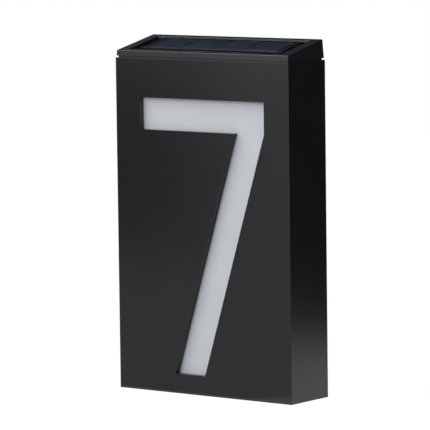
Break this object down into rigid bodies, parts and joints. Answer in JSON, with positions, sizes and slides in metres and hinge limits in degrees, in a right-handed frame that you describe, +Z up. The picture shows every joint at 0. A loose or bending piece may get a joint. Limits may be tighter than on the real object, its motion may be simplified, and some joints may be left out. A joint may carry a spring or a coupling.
{
  "type": "illuminated house number sign",
  "caption": "Upright solar house number light: a slim black box with a cut-out digit over an opal panel, and a wedge-shaped solar lid that lifts off.",
  "frame": {"origin": "middle of the underside, on the plane that the sign stands on", "axes": "+X to the right seen from the front, +Y to the back (wall side), +Z up"},
  "size_m": [0.12, 0.0344, 0.1983],
  "materials": {
    "housing_black": "semi-matt moulded plastic",
    "lid_black": "semi-matt moulded plastic",
    "seal_rubber": "matt",
    "opal_white": "satin opal",
    "tray_white": "matt white",
    "cell_blue": "dark blue silicon",
    "panel_clear": "clear",
    "window_clear": "clear",
    "solar_board_black": "satin",
    "foam_black": "matt",
    "ribbon_tin": "tinned",
    "screw_steel": "zinc plated",
    "battery_steel": "nickel plated",
    "battery_wrap": "shrink film",
    "contact_nickel": "nickel plated",
    "board_green": "solder mask",
    "board_white": "white solder mask",
    "ferrite_grey": "sintered",
    "chip_black": "moulded",
    "capacitor_metal": "drawn can",
    "led_yellow": "phosphor gel",
    "switch_black": "moulded",
    "slider_white": "moulded",
    "lead_red": "soft insulation",
    "lead_black": "soft insulation"
  },
  "bodies": {
    "housing": {"housing": "housing_black", "diffuser_panel": "opal_white", "light_box": "tray_white", "light_box_screws": "screw_steel", "rear_cover": "housing_black", "rear_cover_screws": "screw_steel", "rear_seal": "seal_rubber"},
    "solar_head": {"lid_cap": "lid_black", "head_base": "lid_black", "battery_door": "lid_black", "lid_gasket": "seal_rubber", "solar_cell_1": "cell_blue", "solar_cell_2": "cell_blue", "solar_cell_3": "cell_blue", "solar_cell_4": "cell_blue", "panel_cover": "panel_clear", "led_window": "window_clear", "solar_board": "solar_board_black", "panel_adhesive": "foam_black", "cell_ribbons": "ribbon_tin", "head_base_screws": "screw_steel", "battery_door_screw": "screw_steel", "battery_can": "battery_steel", "battery_sleeve": "battery_wrap", "contact_plate": "contact_nickel", "contact_spring": "contact_nickel", "control_board": "board_green", "led_board": "board_white", "inductor": "ferrite_grey", "controller_chip": "chip_black", "capacitor": "capacitor_metal", "led_packages": "led_yellow", "switch_body": "switch_black", "battery_lead_red": "lead_red", "solar_lead_red": "lead_red", "led_lead_red": "lead_red", "battery_lead_black": "lead_black", "solar_lead_black": "lead_black", "led_lead_black": "lead_black"},
    "switch_slider": {"switch_slider": "slider_white"}
  },
  "joints": [
    {"name": "head_lift", "type": "slide", "parent": "housing", "child": "solar_head", "axis": [0, 0, 1], "range_m": [0, 0.03]},
    {"name": "switch_slide", "type": "slide", "parent": "solar_head", "child": "switch_slider", "axis": [1, 0, 0], "range_m": [0, 0.002]}
  ]
}
